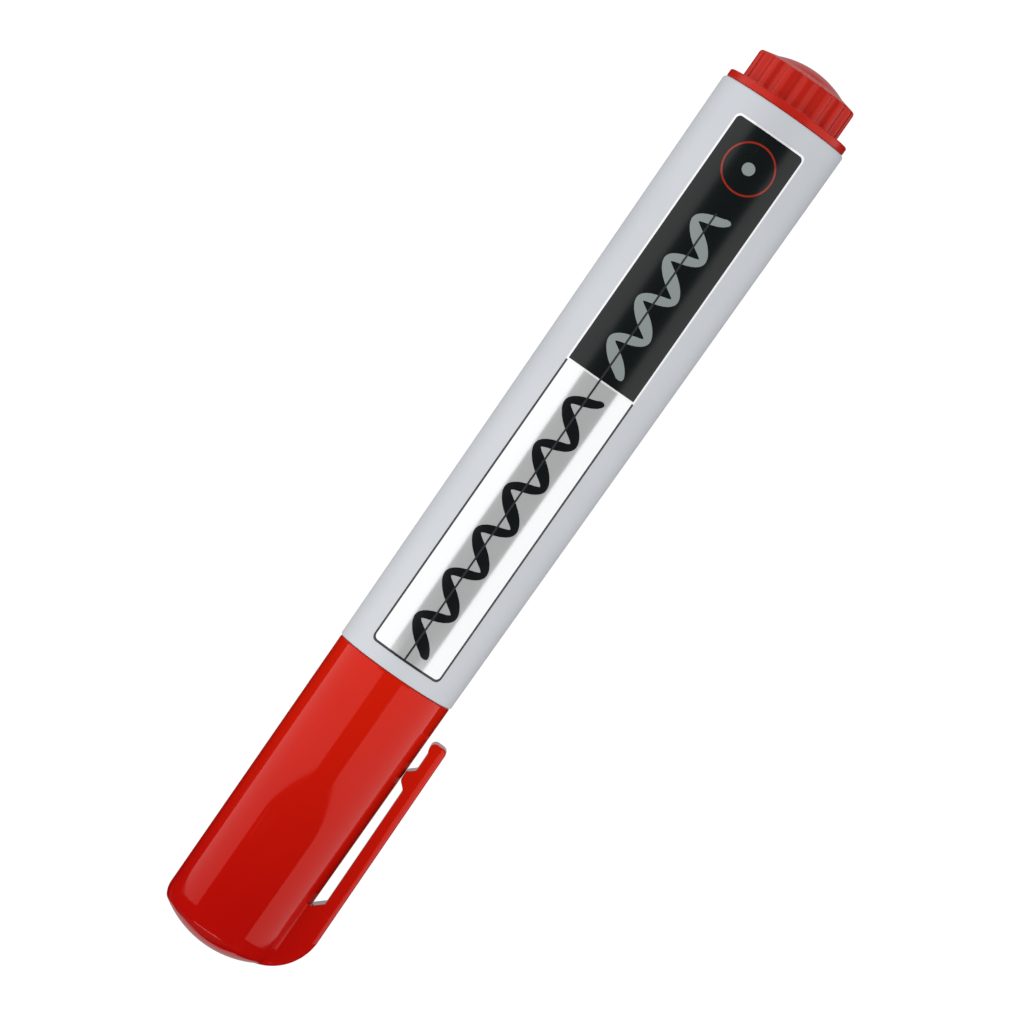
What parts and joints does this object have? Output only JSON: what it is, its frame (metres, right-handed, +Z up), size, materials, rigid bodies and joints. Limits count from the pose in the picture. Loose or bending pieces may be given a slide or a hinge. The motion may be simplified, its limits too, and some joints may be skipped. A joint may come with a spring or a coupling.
{
  "type": "whiteboard marker",
  "caption": "Round bullet-tip whiteboard marker lying down, with a push-on clip cap, a tapered barrel with a label, and a fluted end plug.",
  "frame": {"origin": "on the table under the middle of the bounding box of the lying marker", "axes": "+X along the marker's axis from the cap's closed end to the end plug, +Z up from the table; the clip lies on the -Y side, rolled down until its edge touches the table"},
  "size_m": [0.136, 0.0198, 0.0185],
  "materials": {
    "red_plastic": "glossy moulded polypropylene, red",
    "barrel_plastic": "satin moulded polypropylene, light grey",
    "holder_plastic": "satin moulded polypropylene, white",
    "liner_plastic": "natural polyethylene",
    "nib_fibre": "bonded acrylic fibre soaked with red ink",
    "ink_fibre": "polyester fibre soaked with red ink",
    "wrap_film": "clear plastic film",
    "label_film": "printed film, white and black over a bright metallised ground"
  },
  "bodies": {
    "barrel": {"barrel": "barrel_plastic", "nib_holder": "holder_plastic", "nib": "nib_fibre", "reservoir": "ink_fibre", "reservoir_wrap": "wrap_film", "label": "label_film"},
    "cap": {"cap_shell": "red_plastic", "inner_cap": "liner_plastic"},
    "clip": {"cap_clip": "red_plastic"},
    "plug": {"end_plug": "red_plastic"}
  },
  "joints": [
    {"name": "cap_slide", "type": "slide", "parent": "barrel", "child": "cap", "axis": [-1, 0, 0], "range_m": [0, 0.045]},
    {"name": "clip_flex", "type": "hinge", "parent": "cap", "child": "clip", "pos_m": [-0.0538, -0.00837, 0.00188], "axis": [0, 0.6324, -0.7746], "range_deg": [0, 3.5], "stiffness_Nm_per_rad": 0.08, "springref_deg": -2.86},
    {"name": "plug_slide", "type": "slide", "parent": "barrel", "child": "plug", "axis": [1, 0, 0], "range_m": [0, 0.018]}
  ]
}
